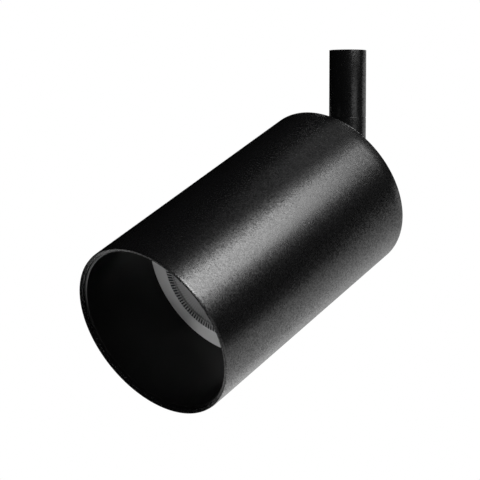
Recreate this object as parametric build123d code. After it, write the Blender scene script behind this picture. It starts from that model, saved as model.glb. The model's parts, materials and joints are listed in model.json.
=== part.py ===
from build123d import *
import os
from math import asin, cos, radians, sin

# A cylinder spotlight on a round swivel stem, in millimetres and degrees.
# The origin is the middle of the stem's top face, +Z runs up the stem and the light aims towards -Y.

# Housing tube
HOUSING_DIAMETER = 60.0
HOUSING_LENGTH = 97.7
HOUSING_WALL = 1.2
HOUSING_REAR_CHAMFER = 0.3
HOUSING_RIM_CHAMFER = 0.3

# Stem tube, tapped at the top for an M10 x 1 lamp thread
STEM_DIAMETER = 13.0
STEM_TUBE_LENGTH = 23.5
STEM_EDGE_CHAMFER = 0.25
THREAD_BORE_DIAMETER = 9.0
THREAD_LENGTH = 12.0
CHAMBER_RELIEF = 0.3
SWIVEL_WEB = 4.0

# Swivel between the stem tube and the knuckle
SEAM_GAP = 0.3
SEAM_TO_PIVOT = 21.0
SWIVEL_LIMIT = 165.0
SPIGOT_DIAMETER = 6.5
SPIGOT_TIP = 1.2
WIRE_BORE_DIAMETER = 4.5
CIRCLIP_THICKNESS = 0.6
CIRCLIP_GROOVE_DEPTH = 0.35
CIRCLIP_HEIGHT = 1.05
CIRCLIP_OPENING = 3.2
SWIVEL_SPRING_THICKNESS = 0.5
SWIVEL_SPRING_WIDTH = 1.0
STOP_PIN_DIAMETER = 1.0
STOP_PIN_CIRCLE = 8.4
STOP_PIN_SEAT = 2.5
STOP_GROOVE_DEPTH = 1.2
STOP_MARGIN = 0.8
FRICTION_RING_WIDTH = 1.1

# Half-lap tilt hinge between the knuckle and the head
REST_TILT = 25.5
PIVOT_TO_REAR = 10.2
LAP_GAP = 0.6
LAP_END_CLEARANCE = 0.7
WIRE_POCKET_DEPTH = 2.5
TILT_RING_WIDTH = 1.2
PIVOT_BOSS_DIAMETER = 5.2
PIVOT_WEB = 1.1
PIVOT_SCREW_DIAMETER = 3.0
PIVOT_SCREW_REACH = 4.2
PIVOT_HEAD_DIAMETER = 5.5
PIVOT_HEAD_HEIGHT = 1.3
PIVOT_SOCKET = 2.0
PIVOT_SOCKET_DEPTH = 0.7
PIVOT_SPRING_THICKNESS = 0.4

# Rear cap and what fastens it
CAP_RECESS = 0.4
CAP_THICKNESS = 4.0
CAP_SKIRT_WALL = 2.5
CAP_SKIRT_LENGTH = 7.2
LUG_THREAD_DIAMETER = 10.0
LUG_NUT_ACROSS_FLATS = 14.0
LUG_NUT_HEIGHT = 3.0
LUG_THREAD_TIP = 1.0
GROMMET_WALL = 0.9
GROMMET_SEAT_DEPTH = 3.0
GROMMET_BORE_DIAMETER = 4.0
GROMMET_FLANGE_DIAMETER = 8.0
GROMMET_FLANGE_HEIGHT = 0.8
CAP_SCREW_COUNT = 3
CAP_SCREW_DIAMETER = 3.0
CAP_SCREW_LENGTH = 11.0
CAP_SCREW_HEAD_DIAMETER = 5.8
CAP_SCREW_SOCKET = 2.0
CAP_SCREW_SOCKET_DEPTH = 0.8
CAP_BOSS_DIAMETER = 6.4
CAP_BOSS_MARGIN = 3.0
SET_SCREW_DIAMETER = 3.0
SET_SCREW_LENGTH = 3.6
SET_SCREW_SINK = 0.3
SET_SCREW_SOCKET = 1.5
SET_SCREW_SOCKET_DEPTH = 1.2

# Anti-glare sleeve
SLEEVE_RECESS = 1.25
SLEEVE_LENGTH = 32.0
SLEEVE_WALL = 0.6
SLEEVE_EDGE_CHAMFER = 0.15

# Lens and its bezel and carrier
BEZEL_FLANGE = 2.0
BEZEL_CROWN = 2.5
BEZEL_WALL = 1.2
PRISM_COUNT = 120
PRISM_RING_DIAMETER = 40.0
PRISM_LENGTH = 2.0
PRISM_EDGE = 0.15
PRISM_DEPTH = 0.45
PRISM_NOTCH_WIDTH = 0.7
PRISM_RING_STEP = 0.8
PRISM_RING_SINK = 0.4
LENS_DOME_RISE = 2.2
LENS_FLANGE = 1.5
LENS_BODY_HEIGHT = 13.7
LENS_BODY_DIAMETER = 38.0
LENS_BODY_BULGE = 1.6
LENS_FOOT_DIAMETER = 18.0
LENS_FOOT_WALL = 1.0
LENS_CAVITY_HEIGHT = 6.0
LENS_CAVITY_DOME = 1.4
CARRIER_WALL = 1.5
CARRIER_LEDGE = 1.5

# Light source and heat sink
HOLDER_DIAMETER = 42.0
HOLDER_HEIGHT = 4.0
HOLDER_APERTURE_DIAMETER = 15.4
HOLDER_SCREW_DIAMETER = 3.0
HOLDER_SCREW_CIRCLE = 33.0
HOLDER_SCREW_REACH = 3.5
HOLDER_SCREW_HEAD_DIAMETER = 5.5
HOLDER_SCREW_HEAD_HEIGHT = 1.8
BOARD_SIDE = 19.0
BOARD_THICKNESS = 1.2
EMITTER_DIAMETER = 14.0
EMITTER_THICKNESS = 0.6
PAD_THICKNESS = 0.5
SINK_BASE = 5.0
SINK_CORE_DIAMETER = 12.0
FIN_PLACES = 24
FIN_THICKNESS = 1.4
WIRING_SPACE = 12.0
LEAD_DIAMETER = 1.5
LEAD_OFFSET = 14.0
LEAD_PAIR_SPACING = 1.7
LEAD_BEND = 3.0
LEAD_SOCKET_DEPTH = 2.5
LEAD_TAIL = 6.0

# Clearances
RUNNING_CLEARANCE = 0.05
SEAT_CLEARANCE = 0.1
THREAD_CLEARANCE = 0.03
FREE_CLEARANCE = 0.3

# Places that follow from the sizes above
STEM_R = STEM_DIAMETER / 2
SEAM_Z = -STEM_TUBE_LENGTH
KNUCKLE_TOP = -SEAM_GAP - STEM_TUBE_LENGTH
PIVOT_Z = SEAM_Z - SEAM_TO_PIVOT
WEB_TOP = SEAM_Z + SWIVEL_WEB
CHAMBER_TOP = -THREAD_LENGTH
CIRCLIP_Z = WEB_TOP + SWIVEL_SPRING_THICKNESS + RUNNING_CLEARANCE
SPIGOT_TOP = CIRCLIP_Z + CIRCLIP_THICKNESS + SPIGOT_TIP
LAP_SHOULDER = STEM_R + LAP_END_CLEARANCE
TILT_RING_R = STEM_R - FREE_CLEARANCE
POCKET_R = TILT_RING_R - TILT_RING_WIDTH - SEAT_CLEARANCE
SCREW_SEAT = LAP_GAP / 2 + WIRE_POCKET_DEPTH + PIVOT_WEB

# Places along the head's axis, from the pivot towards the front
REAR_Z = PIVOT_TO_REAR
FRONT_Z = REAR_Z + HOUSING_LENGTH
BORE_R = HOUSING_DIAMETER / 2 - HOUSING_WALL
INSERT_R = BORE_R - SEAT_CLEARANCE
CAP_REAR = REAR_Z + CAP_RECESS
CAP_FRONT = CAP_REAR + CAP_THICKNESS
SKIRT_R = INSERT_R - CAP_SKIRT_WALL
SKIRT_FRONT = CAP_FRONT + CAP_SKIRT_LENGTH
BOSS_CIRCLE_R = SKIRT_R - CAP_BOSS_MARGIN - CAP_BOSS_DIAMETER / 2
LUG_TIP = CAP_FRONT + LUG_NUT_HEIGHT + LUG_THREAD_TIP
GROMMET_SEAT_R = GROMMET_BORE_DIAMETER / 2 + GROMMET_WALL + SEAT_CLEARANCE
SLEEVE_FRONT = FRONT_Z - SLEEVE_RECESS
SLEEVE_REAR = SLEEVE_FRONT - SLEEVE_LENGTH
SLEEVE_R = INSERT_R - SLEEVE_WALL
BEZEL_REAR = SLEEVE_REAR - BEZEL_FLANGE
BEZEL_TOP = SLEEVE_REAR + BEZEL_CROWN
PRISM_R = PRISM_RING_DIAMETER / 2
LENS_RIM_R = PRISM_R - SEAT_CLEARANCE
PRISM_TOP = BEZEL_TOP - PRISM_RING_SINK
LENS_SEAT = BEZEL_REAR - LENS_FLANGE
LENS_FOOT = LENS_SEAT - LENS_BODY_HEIGHT
SINK_FRONT = LENS_FOOT - HOLDER_HEIGHT
SINK_REAR = SINK_FRONT - SINK_BASE
FIN_REAR = CAP_FRONT + WIRING_SPACE
BOARD_REAR = SINK_FRONT + PAD_THICKNESS
EMITTER_REAR = BOARD_REAR + BOARD_THICKNESS
SET_SCREW_Z = (CAP_FRONT + SKIRT_FRONT) / 2

STEM_PLACE = Pos(0, 0, PIVOT_Z)
AIM = (0, -cos(radians(REST_TILT)), -sin(radians(REST_TILT)))
HEAD_PLACE = Plane(origin=(0, 0, PIVOT_Z), x_dir=(1, 0, 0), z_dir=AIM).location
BOSS_ANGLES = [90 + 360 * i / CAP_SCREW_COUNT for i in range(CAP_SCREW_COUNT)]
LEAD_ANGLES = [0, 180]


def turned(points):
    """Turn a closed (radius, height) outline about Z."""
    return revolve(Plane.XZ * make_face(Polyline(*points, close=True)), Axis.Z)


def rod(radius, low, high):
    """Round bar about Z between two heights."""
    return Pos(0, 0, (low + high) / 2) * Cylinder(radius, high - low)


def ring(inner, outer, low, high):
    """Flat ring about Z between two heights."""
    return rod(outer, low, high) - rod(inner, low, high)


def cross_rod(radius, low, high):
    """Round bar along X between two places."""
    return Rot(0, 90, 0) * rod(radius, low, high)


def hex_bar(across_flats, low, high):
    """Hexagonal bar about Z between two heights."""
    section = RegularPolygon(across_flats / 2, 6, major_radius=False)
    return extrude(Pos(0, 0, low) * section, high - low)


def cap_arc(radius, foot, rise):
    """Arc of a ball's cap in the (radius, height) plane, from its foot to its top on the axis."""
    ball_r = (radius**2 + rise**2) / (2 * rise)
    half = asin(radius / ball_r) / 2
    middle = (ball_r * sin(half), foot + rise - ball_r * (1 - cos(half)))
    return ThreePointArc((radius, foot), middle, (0, foot + rise))


def lap_bar(length, side):
    """Round bar along Z with its end halved and rounded about the pivot, which is the origin.

    The half that is left lies on the given side of X, with a pocket where the wires go round the screw.
    """
    bar = rod(STEM_R, -STEM_R, length)
    end_block = Pos(0, 0, -STEM_R / 2) * Box(STEM_DIAMETER, STEM_DIAMETER, STEM_R)
    bar -= end_block - cross_rod(STEM_R, -STEM_DIAMETER, STEM_DIAMETER)
    lap_height = LAP_SHOULDER + STEM_R
    lap = Box(STEM_DIAMETER, STEM_DIAMETER, lap_height)
    bar -= Pos(side * (LAP_GAP - STEM_DIAMETER) / 2, 0, lap_height / 2 - STEM_R) * lap
    pocket = cross_rod(POCKET_R, 0, LAP_GAP / 2 + WIRE_POCKET_DEPTH)
    pocket -= cross_rod(PIVOT_BOSS_DIAMETER / 2, 0, LAP_GAP / 2 + WIRE_POCKET_DEPTH)
    bar -= pocket if side > 0 else mirror(pocket, Plane.YZ)
    wire_bore = rod(WIRE_BORE_DIAMETER / 2, PIVOT_BOSS_DIAMETER / 2, length)
    return bar - (wire_bore - cross_rod(PIVOT_BOSS_DIAMETER / 2, -STEM_R, STEM_R))


def stem_tube():
    """Upper stem: tapped bore at the top, spring chamber, and the web that the knuckle turns in."""
    thread_r = THREAD_BORE_DIAMETER / 2
    chamber_r = thread_r + CHAMBER_RELIEF
    web_r = SPIGOT_DIAMETER / 2 + RUNNING_CLEARANCE
    tube = turned(
        [
            (thread_r, 0),
            (STEM_R - STEM_EDGE_CHAMFER, 0),
            (STEM_R, -STEM_EDGE_CHAMFER),
            (STEM_R, SEAM_Z + STEM_EDGE_CHAMFER),
            (STEM_R - STEM_EDGE_CHAMFER, SEAM_Z),
            (web_r, SEAM_Z),
            (web_r, WEB_TOP),
            (chamber_r, WEB_TOP),
            (chamber_r, CHAMBER_TOP),
            (thread_r, CHAMBER_TOP),
        ]
    )
    pin_hole = rod(STOP_PIN_DIAMETER / 2 + THREAD_CLEARANCE, SEAM_Z, SEAM_Z + STOP_PIN_SEAT)
    return tube - Pos(0, STOP_PIN_CIRCLE / 2, 0) * pin_hole


def swivel_stop_pin():
    """Pin under the stem tube that runs in the knuckle's groove."""
    tip = KNUCKLE_TOP - STOP_GROOVE_DEPTH + FREE_CLEARANCE
    return Pos(0, STOP_PIN_CIRCLE / 2, 0) * rod(STOP_PIN_DIAMETER / 2, tip, SEAM_Z + STOP_PIN_SEAT)


def swivel_friction_ring():
    """Thin ring in the seam, set in from the stem's outside."""
    outer = STEM_R - STEM_EDGE_CHAMFER - SEAT_CLEARANCE
    return ring(outer - FRICTION_RING_WIDTH, outer, KNUCKLE_TOP + RUNNING_CLEARANCE, SEAM_Z)


def swivel_spring_washer():
    """Washer on the web that keeps the swivel stiff."""
    inner = SPIGOT_DIAMETER / 2 + SEAT_CLEARANCE
    return ring(inner, inner + SWIVEL_SPRING_WIDTH, WEB_TOP, WEB_TOP + SWIVEL_SPRING_THICKNESS)


def spigot_circlip():
    """Open ring in the spigot's groove."""
    inner = SPIGOT_DIAMETER / 2 - CIRCLIP_GROOVE_DEPTH + THREAD_CLEARANCE
    outer = SPIGOT_DIAMETER / 2 + CIRCLIP_HEIGHT
    clip = ring(inner, outer, CIRCLIP_Z, CIRCLIP_Z + CIRCLIP_THICKNESS)
    opening = Box(outer, CIRCLIP_OPENING, CIRCLIP_THICKNESS)
    return clip - Pos(outer / 2, 0, CIRCLIP_Z + CIRCLIP_THICKNESS / 2) * opening


def stop_groove():
    """Groove in the knuckle's top for the stop pin, broken by the stop in front."""
    pin_r = STOP_PIN_DIAMETER / 2
    middle = STOP_PIN_CIRCLE / 2
    low = KNUCKLE_TOP - STOP_GROOVE_DEPTH
    groove = ring(middle - pin_r - FREE_CLEARANCE, middle + pin_r + FREE_CLEARANCE, low, KNUCKLE_TOP)
    half_stop = radians(180 - SWIVEL_LIMIT - STOP_MARGIN) - asin(pin_r / middle)
    reach = STEM_DIAMETER
    wedge = Polyline(
        (0, 0),
        (reach * sin(half_stop), -reach * cos(half_stop)),
        (-reach * sin(half_stop), -reach * cos(half_stop)),
        close=True,
    )
    return groove - extrude(Pos(0, 0, low) * make_face(wedge), STOP_GROOVE_DEPTH)


def swivel_knuckle():
    """Lower stem: hollow spigot above, half of the tilt hinge below."""
    top = KNUCKLE_TOP - PIVOT_Z
    knuckle = lap_bar(top, -1)
    knuckle = chamfer(knuckle.edges().group_by(Axis.Z)[-1].sort_by(SortBy.RADIUS)[-1], STEM_EDGE_CHAMFER)
    through = PIVOT_SCREW_DIAMETER / 2 + RUNNING_CLEARANCE
    knuckle -= cross_rod(through, -STEM_R, 0)
    knuckle -= cross_rod(PIVOT_HEAD_DIAMETER / 2 + FREE_CLEARANCE, -STEM_R, -SCREW_SEAT)
    spigot_r = SPIGOT_DIAMETER / 2
    spigot = ring(WIRE_BORE_DIAMETER / 2, spigot_r, KNUCKLE_TOP, SPIGOT_TOP)
    groove_top = CIRCLIP_Z + CIRCLIP_THICKNESS + RUNNING_CLEARANCE
    spigot -= ring(spigot_r - CIRCLIP_GROOVE_DEPTH, spigot_r, CIRCLIP_Z - RUNNING_CLEARANCE, groove_top)
    return STEM_PLACE * knuckle - stop_groove() + spigot


def tilt_lug():
    """Head's half of the tilt hinge, with a threaded tail through the rear cap."""
    lug = lap_bar(CAP_REAR, 1)
    lug -= cross_rod(PIVOT_SCREW_DIAMETER / 2 + THREAD_CLEARANCE, 0, PIVOT_SCREW_REACH + FREE_CLEARANCE)
    tail = ring(WIRE_BORE_DIAMETER / 2, LUG_THREAD_DIAMETER / 2, CAP_REAR, LUG_TIP)
    return lug + (tail - rod(GROMMET_SEAT_R, LUG_TIP - GROMMET_SEAT_DEPTH, LUG_TIP))


def pivot_screw():
    """Shoulder screw along X, its head let into the knuckle and its thread in the lug."""
    seat = -SCREW_SEAT - PIVOT_SPRING_THICKNESS - RUNNING_CLEARANCE
    head = cross_rod(PIVOT_HEAD_DIAMETER / 2, seat - PIVOT_HEAD_HEIGHT, seat)
    socket_top = seat - PIVOT_HEAD_HEIGHT
    socket = Rot(0, 90, 0) * hex_bar(PIVOT_SOCKET, socket_top, socket_top + PIVOT_SOCKET_DEPTH)
    return head - socket + cross_rod(PIVOT_SCREW_DIAMETER / 2, seat, PIVOT_SCREW_REACH)


def pivot_spring_washer():
    """Washer under the pivot screw's head."""
    low = -SCREW_SEAT - PIVOT_SPRING_THICKNESS - RUNNING_CLEARANCE
    inner = PIVOT_SCREW_DIAMETER / 2 + SEAT_CLEARANCE
    washer = ring(inner, PIVOT_HEAD_DIAMETER / 2, low, low + PIVOT_SPRING_THICKNESS)
    return Rot(0, 90, 0) * washer


def tilt_friction_ring():
    """Ring between the two halves of the hinge, outside the wire pocket."""
    inner = TILT_RING_R - TILT_RING_WIDTH
    lap = LAP_GAP / 2
    return Rot(0, 90, 0) * ring(inner, TILT_RING_R, RUNNING_CLEARANCE - lap, lap)


def lug_nut():
    """Thin hexagon nut that holds the lug on the rear cap."""
    bore = rod(LUG_THREAD_DIAMETER / 2 + THREAD_CLEARANCE, CAP_FRONT, CAP_FRONT + LUG_NUT_HEIGHT)
    return hex_bar(LUG_NUT_ACROSS_FLATS, CAP_FRONT, CAP_FRONT + LUG_NUT_HEIGHT) - bore


def lug_grommet():
    """Flanged bush that keeps the leads off the lug's edge."""
    bore_r = GROMMET_BORE_DIAMETER / 2
    low = LUG_TIP - GROMMET_SEAT_DEPTH
    top = LUG_TIP + GROMMET_FLANGE_HEIGHT
    bush = ring(bore_r, bore_r + GROMMET_WALL, low, LUG_TIP)
    return bush + ring(bore_r, GROMMET_FLANGE_DIAMETER / 2, LUG_TIP, top)


def cap_screw_places():
    """The places of the screws that hold the cap on the heat sink's bosses."""
    return [Rot(0, 0, angle) * Pos(BOSS_CIRCLE_R, 0, 0) for angle in BOSS_ANGLES]


def cap_screws():
    """Countersunk screws, their heads flush with the cap's back."""
    head_r = CAP_SCREW_HEAD_DIAMETER / 2
    shank_r = CAP_SCREW_DIAMETER / 2
    shoulder = CAP_REAR + head_r - shank_r
    tip = CAP_REAR + CAP_SCREW_LENGTH
    screw = turned([(0, CAP_REAR), (head_r, CAP_REAR), (shank_r, shoulder), (shank_r, tip), (0, tip)])
    screw -= hex_bar(CAP_SCREW_SOCKET, CAP_REAR, CAP_REAR + CAP_SCREW_SOCKET_DEPTH)
    return Compound([place * screw for place in cap_screw_places()])


def rear_cap():
    """Plug in the back of the housing, with a skirt for the set screw."""
    lug_hole = LUG_THREAD_DIAMETER / 2 + THREAD_CLEARANCE
    cap = turned(
        [
            (lug_hole, CAP_REAR),
            (INSERT_R, CAP_REAR),
            (INSERT_R, SKIRT_FRONT),
            (SKIRT_R, SKIRT_FRONT),
            (SKIRT_R, CAP_FRONT),
            (lug_hole, CAP_FRONT),
        ]
    )
    head_r = CAP_SCREW_HEAD_DIAMETER / 2 + THREAD_CLEARANCE
    hole_r = CAP_SCREW_DIAMETER / 2 + THREAD_CLEARANCE
    shoulder = CAP_REAR + head_r - hole_r
    hole = turned(
        [(0, CAP_REAR), (head_r, CAP_REAR), (hole_r, shoulder), (hole_r, CAP_FRONT), (0, CAP_FRONT)]
    )
    cap -= [place * hole for place in cap_screw_places()]
    tapped_r = SET_SCREW_DIAMETER / 2 + THREAD_CLEARANCE
    return cap - set_screw_bar(tapped_r, SKIRT_R - CAP_SKIRT_WALL, INSERT_R)


def set_screw_bar(radius, inner, outer):
    """Round bar square to the head's axis, under the rear cap's skirt."""
    return Pos(0, 0, SET_SCREW_Z) * Rot(90, 0, 0) * rod(radius, inner, outer)


def housing_set_screw():
    """Headless screw under the housing that holds the tube on the cap."""
    outer = HOUSING_DIAMETER / 2 - SET_SCREW_SINK
    screw = set_screw_bar(SET_SCREW_DIAMETER / 2, outer - SET_SCREW_LENGTH, outer)
    socket = hex_bar(SET_SCREW_SOCKET, outer - SET_SCREW_SOCKET_DEPTH, outer)
    return screw - Pos(0, 0, SET_SCREW_Z) * Rot(90, 0, 0) * socket


def housing_tube():
    """Plain tube, open in front, with broken edges."""
    outer = HOUSING_DIAMETER / 2
    tube = turned(
        [
            (BORE_R, REAR_Z),
            (outer - HOUSING_REAR_CHAMFER, REAR_Z),
            (outer, REAR_Z + HOUSING_REAR_CHAMFER),
            (outer, FRONT_Z - HOUSING_RIM_CHAMFER),
            (outer - HOUSING_RIM_CHAMFER, FRONT_Z),
            (BORE_R + HOUSING_RIM_CHAMFER, FRONT_Z),
            (BORE_R, FRONT_Z - HOUSING_RIM_CHAMFER),
        ]
    )
    return tube - set_screw_bar(SET_SCREW_DIAMETER / 2 + SEAT_CLEARANCE, BORE_R - HOUSING_WALL, outer)


def baffle_sleeve():
    """Anti-glare sleeve, set back from the rim, its front edge broken on both sides."""
    return turned(
        [
            (SLEEVE_R, SLEEVE_REAR),
            (INSERT_R, SLEEVE_REAR),
            (INSERT_R, SLEEVE_FRONT - SLEEVE_EDGE_CHAMFER),
            (INSERT_R - SLEEVE_EDGE_CHAMFER, SLEEVE_FRONT),
            (SLEEVE_R + SLEEVE_EDGE_CHAMFER, SLEEVE_FRONT),
            (SLEEVE_R, SLEEVE_FRONT - SLEEVE_EDGE_CHAMFER),
        ]
    )


def lens_bezel():
    """Crowned ring that clamps the lens on its carrier."""
    back = SLEEVE_REAR - BEZEL_WALL
    crown_slope = BEZEL_CROWN / (SLEEVE_R - PRISM_R)
    inner_back = BEZEL_TOP - BEZEL_WALL * (1 + crown_slope)
    return turned(
        [
            (INSERT_R, BEZEL_REAR),
            (INSERT_R, SLEEVE_REAR),
            (SLEEVE_R, SLEEVE_REAR),
            (PRISM_R, BEZEL_TOP),
            (PRISM_R, BEZEL_REAR),
            (PRISM_R + BEZEL_WALL, BEZEL_REAR),
            (PRISM_R + BEZEL_WALL, inner_back),
            (SLEEVE_R, back),
            (SLEEVE_R, BEZEL_REAR),
        ]
    )


def lens():
    """Collimating lens: domed face in a ring of radial prisms, flange, and a curved body with a cavity."""
    ring_inner = LENS_RIM_R - PRISM_LENGTH - 2 * PRISM_EDGE
    flange_r = INSERT_R - CARRIER_WALL - SEAT_CLEARANCE
    body_r = LENS_BODY_DIAMETER / 2
    foot_r = LENS_FOOT_DIAMETER / 2
    cavity_r = foot_r - LENS_FOOT_WALL
    cavity_top = LENS_FOOT + LENS_CAVITY_HEIGHT
    dome_foot = PRISM_TOP - PRISM_RING_STEP
    dome = cap_arc(ring_inner, dome_foot, LENS_DOME_RISE)
    side = ThreePointArc(
        (body_r, LENS_SEAT),
        ((body_r + foot_r) / 2 + LENS_BODY_BULGE, (LENS_SEAT + LENS_FOOT) / 2 - LENS_BODY_BULGE),
        (foot_r, LENS_FOOT),
    )
    cavity = cap_arc(cavity_r, cavity_top, LENS_CAVITY_DOME)
    rim = Polyline(
        (ring_inner, dome_foot),
        (ring_inner, PRISM_TOP),
        (LENS_RIM_R, PRISM_TOP),
        (LENS_RIM_R, BEZEL_REAR),
        (flange_r, BEZEL_REAR),
        (flange_r, LENS_SEAT),
        (body_r, LENS_SEAT),
    )
    foot = Polyline((foot_r, LENS_FOOT), (cavity_r, LENS_FOOT), (cavity_r, cavity_top))
    axis = Line((0, cavity_top + LENS_CAVITY_DOME), (0, dome_foot + LENS_DOME_RISE))
    blank = revolve(Plane.XZ * make_face(dome + rim + side + foot + cavity + axis), Axis.Z)
    half_notch = PRISM_NOTCH_WIDTH / 2
    notch_foot = (0, PRISM_TOP - PRISM_DEPTH)
    notch = Polyline((-half_notch, PRISM_TOP), (half_notch, PRISM_TOP), notch_foot, close=True)
    cutter = extrude(Plane.YZ.offset(ring_inner + PRISM_EDGE) * make_face(notch), PRISM_LENGTH)
    return blank - [Rot(0, 0, 360 * i / PRISM_COUNT) * cutter for i in range(PRISM_COUNT)]


def lens_carrier():
    """Spacer between the heat sink and the bezel, with a ledge under the lens flange."""
    seat_r = INSERT_R - CARRIER_WALL
    ledge_r = seat_r - CARRIER_LEDGE
    return turned(
        [
            (ledge_r, SINK_FRONT),
            (INSERT_R, SINK_FRONT),
            (INSERT_R, BEZEL_REAR),
            (seat_r, BEZEL_REAR),
            (seat_r, LENS_SEAT),
            (ledge_r, LENS_SEAT),
        ]
    )


def holder_screw_places():
    """The two places of the holder's screws."""
    return [Rot(0, 0, angle) * Pos(HOLDER_SCREW_CIRCLE / 2, 0, 0) for angle in (45, 225)]


def led_holder():
    """Moulded ring that presses the board on the heat sink and takes the leads."""
    holder = ring(HOLDER_APERTURE_DIAMETER / 2, HOLDER_DIAMETER / 2, SINK_FRONT, LENS_FOOT)
    pocket_side = BOARD_SIDE + 2 * SEAT_CLEARANCE
    pocket_height = PAD_THICKNESS + BOARD_THICKNESS
    holder -= Pos(0, 0, SINK_FRONT + pocket_height / 2) * Box(pocket_side, pocket_side, pocket_height)
    screw_hole = rod(HOLDER_SCREW_DIAMETER / 2 + SEAT_CLEARANCE, SINK_FRONT, LENS_FOOT)
    holder -= [place * screw_hole for place in holder_screw_places()]
    socket = rod(LEAD_DIAMETER / 2 + THREAD_CLEARANCE, SINK_FRONT, SINK_FRONT + LEAD_SOCKET_DEPTH)
    return holder - [Rot(0, 0, angle) * Pos(LEAD_OFFSET, 0, 0) * socket for angle in LEAD_ANGLES]


def holder_screws():
    """Two pan-head screws through the holder into the heat sink."""
    head_top = LENS_FOOT + HOLDER_SCREW_HEAD_HEIGHT
    screw = rod(HOLDER_SCREW_HEAD_DIAMETER / 2, LENS_FOOT, head_top)
    screw += rod(HOLDER_SCREW_DIAMETER / 2, SINK_FRONT - HOLDER_SCREW_REACH, LENS_FOOT)
    return Compound([place * screw for place in holder_screw_places()])


def heat_sink():
    """Base disc with radial fins, bosses for the cap screws and passages for the leads."""
    fin = Box(INSERT_R, FIN_THICKNESS, SINK_REAR - FIN_REAR)
    fin = Pos(INSERT_R / 2, 0, (SINK_REAR + FIN_REAR) / 2) * fin
    bare = [round(angle) % 360 for angle in BOSS_ANGLES + LEAD_ANGLES]
    angles = [360 * i / FIN_PLACES for i in range(FIN_PLACES)]
    fins = [Rot(0, 0, angle) * fin for angle in angles if round(angle) not in bare]
    core = rod(SINK_CORE_DIAMETER / 2, FIN_REAR, SINK_REAR)
    sink = (core + fins) & rod(INSERT_R, FIN_REAR, SINK_REAR)
    boss = rod(CAP_BOSS_DIAMETER / 2, CAP_FRONT, SINK_REAR)
    bosses = [place * boss for place in cap_screw_places()]
    sink = rod(INSERT_R, SINK_REAR, SINK_FRONT) + sink + bosses
    screw_tip = CAP_REAR + CAP_SCREW_LENGTH
    tapped = rod(CAP_SCREW_DIAMETER / 2 + THREAD_CLEARANCE, CAP_FRONT, screw_tip + SEAT_CLEARANCE)
    sink -= [place * tapped for place in cap_screw_places()]
    blind_end = SINK_FRONT - HOLDER_SCREW_REACH - SEAT_CLEARANCE
    blind = rod(HOLDER_SCREW_DIAMETER / 2 + THREAD_CLEARANCE, blind_end, SINK_FRONT)
    sink -= [place * blind for place in holder_screw_places()]
    passage = rod(LEAD_DIAMETER / 2 + FREE_CLEARANCE, SINK_REAR, SINK_FRONT)
    return sink - [Rot(0, 0, angle) * Pos(LEAD_OFFSET, 0, 0) * passage for angle in LEAD_ANGLES]


def thermal_pad():
    """Soft pad under the board."""
    return Pos(0, 0, SINK_FRONT + PAD_THICKNESS / 2) * Box(BOARD_SIDE, BOARD_SIDE, PAD_THICKNESS)


def led_board():
    """Square board of the light source."""
    return Pos(0, 0, BOARD_REAR + BOARD_THICKNESS / 2) * Box(BOARD_SIDE, BOARD_SIDE, BOARD_THICKNESS)


def led_emitter():
    """Round light-giving patch on the board."""
    return rod(EMITTER_DIAMETER / 2, EMITTER_REAR, EMITTER_REAR + EMITTER_THICKNESS)


def lead(angle):
    """Insulated lead from the holder, past the fins, through the grommet into the lug."""
    beside = LEAD_PAIR_SPACING / 2
    turn_in = FIN_REAR
    turn_down = LUG_TIP + GROMMET_FLANGE_HEIGHT + LEAD_BEND
    route = FilletPolyline(
        (LEAD_OFFSET, 0, SINK_FRONT + LEAD_SOCKET_DEPTH),
        (LEAD_OFFSET, 0, turn_in),
        (beside, 0, turn_down),
        (beside, 0, LUG_TIP - LEAD_TAIL),
        radius=LEAD_BEND,
    )
    section = Plane(origin=route @ 0, z_dir=route % 0) * Circle(LEAD_DIAMETER / 2)
    return Rot(0, 0, angle) * sweep(section, path=route)


def save(name, shape):
    """Write one node."""
    export_step(shape, f"parts/{name}.step")


def main():
    """Build every node in the rest pose and write it."""
    os.makedirs("parts", exist_ok=True)
    upright = (
        stem_tube,
        swivel_stop_pin,
        swivel_friction_ring,
        swivel_spring_washer,
        spigot_circlip,
        swivel_knuckle,
    )
    for piece in upright:
        save(piece.__name__, piece())
    aimed = (
        tilt_lug,
        pivot_screw,
        pivot_spring_washer,
        tilt_friction_ring,
        lug_nut,
        lug_grommet,
        rear_cap,
        cap_screws,
        housing_set_screw,
        housing_tube,
        baffle_sleeve,
        lens_bezel,
        lens,
        lens_carrier,
        led_holder,
        holder_screws,
        heat_sink,
        thermal_pad,
        led_board,
        led_emitter,
    )
    for piece in aimed:
        save(piece.__name__, HEAD_PLACE * piece())
    for name, angle in zip(("lead_positive", "lead_negative"), LEAD_ANGLES):
        save(name, HEAD_PLACE * lead(angle))


main()
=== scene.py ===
"""Looks of a black cylinder spotlight on a swivel stem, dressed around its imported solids, in metres."""
import json
import logging
import math
from dataclasses import dataclass
from enum import Enum
from typing import Any, Callable, Iterable, Optional, Sequence, Union

import bmesh
import bpy
from mathutils import Matrix, Vector


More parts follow.
